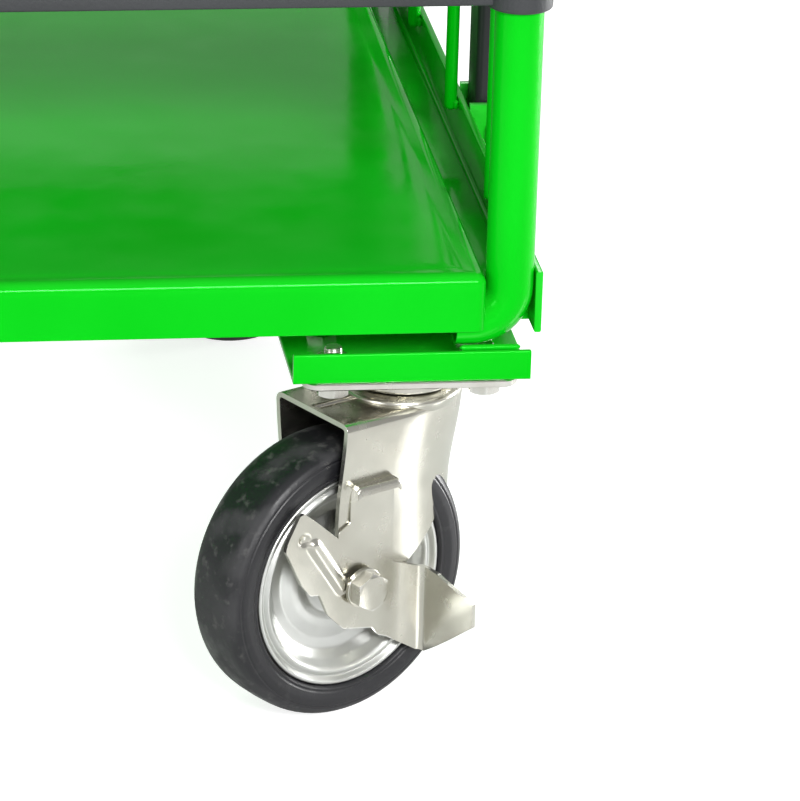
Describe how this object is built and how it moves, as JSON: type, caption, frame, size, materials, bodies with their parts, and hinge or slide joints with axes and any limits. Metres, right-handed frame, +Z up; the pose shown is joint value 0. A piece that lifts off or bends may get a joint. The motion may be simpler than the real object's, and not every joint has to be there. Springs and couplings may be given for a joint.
{
  "type": "tow behind cart",
  "caption": "Two-level steel cart with a moulded load tub over a sheet tray, bent tube posts, rod end fences, swivel and fixed castors with side brakes, and a hinged tow bar.",
  "frame": {"origin": "floor level, under the middle of the whole cart with its tow bar stowed", "axes": "+X towards the tow bar end, +Y to the far side, +Z up"},
  "size_m": [0.9384, 0.666, 0.822],
  "materials": {
    "green_enamel": "bright gloss powder coat",
    "black_moulding": "fine textured moulding",
    "black_enamel": "satin black paint",
    "zinc_plate": "bright zinc plating",
    "zinc_rim": "bright zinc plated pressing",
    "black_rubber": "solid rubber with grey scuffs"
  },
  "bodies": {
    "cart": {"lower_tray": "green_enamel", "load_tub": "black_moulding", "side_angle_tow": "green_enamel", "side_angle_rear": "green_enamel", "fence_tow": "green_enamel", "fence_rear": "green_enamel", "upper_rail_near": "green_enamel", "upper_rail_far": "green_enamel", "tow_bracket": "green_enamel", "tow_pivot_bolt": "zinc_plate", "post_near_tow": "green_enamel", "castor_pan_near_tow": "green_enamel", "mount_bolt_near_tow_1": "zinc_plate", "mount_bolt_near_tow_2": "zinc_plate", "mount_bolt_near_tow_3": "zinc_plate", "mount_bolt_near_tow_4": "zinc_plate", "swivel_plate_near_tow": "zinc_plate", "post_far_tow": "green_enamel", "castor_pan_far_tow": "green_enamel", "mount_bolt_far_tow_1": "zinc_plate", "mount_bolt_far_tow_2": "zinc_plate", "mount_bolt_far_tow_3": "zinc_plate", "mount_bolt_far_tow_4": "zinc_plate", "swivel_plate_far_tow": "zinc_plate", "post_near_rear": "green_enamel", "castor_pan_near_rear": "green_enamel", "mount_bolt_near_rear_1": "zinc_plate", "mount_bolt_near_rear_2": "zinc_plate", "mount_bolt_near_rear_3": "zinc_plate", "mount_bolt_near_rear_4": "zinc_plate", "fixed_fork_near_rear": "zinc_plate", "axle_bolt_near_rear": "zinc_plate", "post_far_rear": "green_enamel", "castor_pan_far_rear": "green_enamel", "mount_bolt_far_rear_1": "zinc_plate", "mount_bolt_far_rear_2": "zinc_plate", "mount_bolt_far_rear_3": "zinc_plate", "mount_bolt_far_rear_4": "zinc_plate", "fixed_fork_far_rear": "zinc_plate", "axle_bolt_far_rear": "zinc_plate"},
    "swivel_near_tow": {"fork_near_tow": "zinc_plate", "axle_bolt_near_tow": "zinc_plate", "brake_spring_near_tow": "zinc_plate"},
    "wheel_near_tow": {"rim_near_tow": "zinc_rim", "tyre_near_tow": "black_rubber"},
    "brake_near_tow": {"brake_lever_near_tow": "zinc_plate"},
    "swivel_far_tow": {"fork_far_tow": "zinc_plate", "axle_bolt_far_tow": "zinc_plate", "brake_spring_far_tow": "zinc_plate"},
    "wheel_far_tow": {"rim_far_tow": "zinc_rim", "tyre_far_tow": "black_rubber"},
    "brake_far_tow": {"brake_lever_far_tow": "zinc_plate"},
    "wheel_near_rear": {"rim_near_rear": "zinc_rim", "tyre_near_rear": "black_rubber"},
    "wheel_far_rear": {"rim_far_rear": "zinc_rim", "tyre_far_rear": "black_rubber"},
    "tow": {"tow_bar": "black_enamel", "tow_eye": "zinc_plate"}
  },
  "joints": [
    {"name": "swivel_near_tow", "type": "hinge", "parent": "cart", "child": "swivel_near_tow", "pos_m": [0.36325, -0.256, 0.182], "axis": [0, 0, 1], "continuous": true},
    {"name": "wheel_spin_near_tow", "type": "hinge", "parent": "swivel_near_tow", "child": "wheel_near_tow", "pos_m": [0.32341, -0.279, 0.08], "axis": [-0.5, 0.866, 0], "continuous": true},
    {"name": "brake_press_near_tow", "type": "hinge", "parent": "swivel_near_tow", "child": "brake_near_tow", "pos_m": [0.32341, -0.279, 0.08], "axis": [-0.5, 0.866, 0], "range_deg": [0, 18]},
    {"name": "swivel_far_tow", "type": "hinge", "parent": "cart", "child": "swivel_far_tow", "pos_m": [0.36325, 0.256, 0.182], "axis": [0, 0, 1], "continuous": true},
    {"name": "wheel_spin_far_tow", "type": "hinge", "parent": "swivel_far_tow", "child": "wheel_far_tow", "pos_m": [0.32341, 0.279, 0.08], "axis": [0.5, 0.866, 0], "continuous": true},
    {"name": "brake_press_far_tow", "type": "hinge", "parent": "swivel_far_tow", "child": "brake_far_tow", "pos_m": [0.32341, 0.279, 0.08], "axis": [0.5, 0.866, 0], "range_deg": [0, 18]},
    {"name": "wheel_spin_near_rear", "type": "hinge", "parent": "cart", "child": "wheel_near_rear", "pos_m": [-0.38475, -0.256, 0.08], "axis": [0, 1, 0], "continuous": true},
    {"name": "wheel_spin_far_rear", "type": "hinge", "parent": "cart", "child": "wheel_far_rear", "pos_m": [-0.38475, 0.256, 0.08], "axis": [0, 1, 0], "continuous": true},
    {"name": "tow_bar_hinge", "type": "hinge", "parent": "cart", "child": "tow", "pos_m": [0.45225, 0, 0.238], "axis": [0, 1, 0], "range_deg": [0, 108]}
  ]
}
